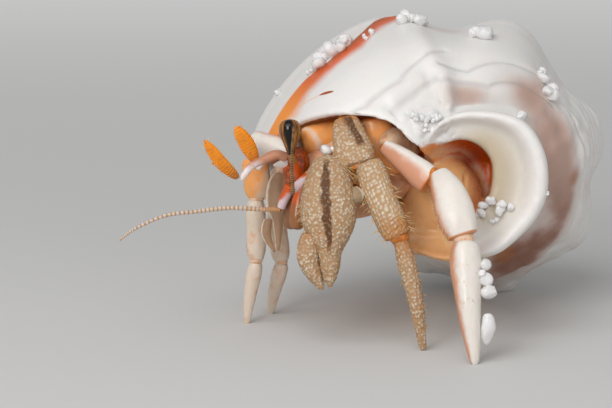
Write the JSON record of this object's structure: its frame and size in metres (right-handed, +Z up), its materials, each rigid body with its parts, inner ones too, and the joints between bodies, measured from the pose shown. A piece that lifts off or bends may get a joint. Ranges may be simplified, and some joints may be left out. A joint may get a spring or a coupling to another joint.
{
  "type": "hermit crab",
  "caption": "Still, life-size land hermit crab standing on its walking legs in a knobbed white whelk shell, large left claw held before the head.",
  "frame": {"origin": "middle of the small flat under the shell's body whorl, where it rests on the floor", "axes": "+Z up; -X the way the crab walks and its right feeler points; +Y from the crab's left side to its right side, towards the shell's tip"},
  "size_m": [0.0566, 0.0606, 0.0335],
  "materials": {
    "shell": "worn porcelain-like seashell, white with orange bands",
    "claw_plate": "granular sand-coloured crust with dark stripes",
    "pale_leg": "smooth pale crust",
    "soft_body": "peach and orange skin between the plates",
    "feeler": "ringed orange feelers",
    "eye": "glossy black-brown eye"
  },
  "bodies": {
    "root": {"abdomen": "soft_body", "antenna_left_flagellum": "feeler", "antenna_left_peduncle": "feeler", "antenna_right_flagellum": "feeler", "antenna_right_peduncle": "feeler", "antennule_left_flagellum": "feeler", "antennule_left_peduncle": "feeler", "antennule_right_flagellum": "feeler", "antennule_right_peduncle": "feeler", "carapace_shield": "soft_body", "cheliped_left_carpus": "claw_plate", "cheliped_left_finger": "claw_plate", "cheliped_left_merus": "soft_body", "cheliped_left_palm": "claw_plate", "cheliped_right_carpus": "claw_plate", "cheliped_right_finger": "claw_plate", "cheliped_right_merus": "soft_body", "cheliped_right_palm": "claw_plate", "eye_left": "eye", "eye_right": "eye", "eyestalk_left": "feeler", "eyestalk_right": "feeler", "leg2_left_carpus": "claw_plate", "leg2_left_dactyl": "claw_plate", "leg2_left_merus": "soft_body", "leg2_left_propodus": "claw_plate", "leg2_right_carpus": "pale_leg", "leg2_right_dactyl": "pale_leg", "leg2_right_merus": "soft_body", "leg2_right_propodus": "pale_leg", "leg3_left_carpus": "pale_leg", "leg3_left_dactyl": "pale_leg", "leg3_left_merus": "soft_body", "leg3_left_propodus": "pale_leg", "leg3_right_carpus": "pale_leg", "leg3_right_dactyl": "pale_leg", "leg3_right_merus": "soft_body", "leg3_right_propodus": "pale_leg", "maxilliped_left": "feeler", "maxilliped_right": "feeler", "shell": "shell", "thorax": "soft_body"}
  },
  "joints": []
}
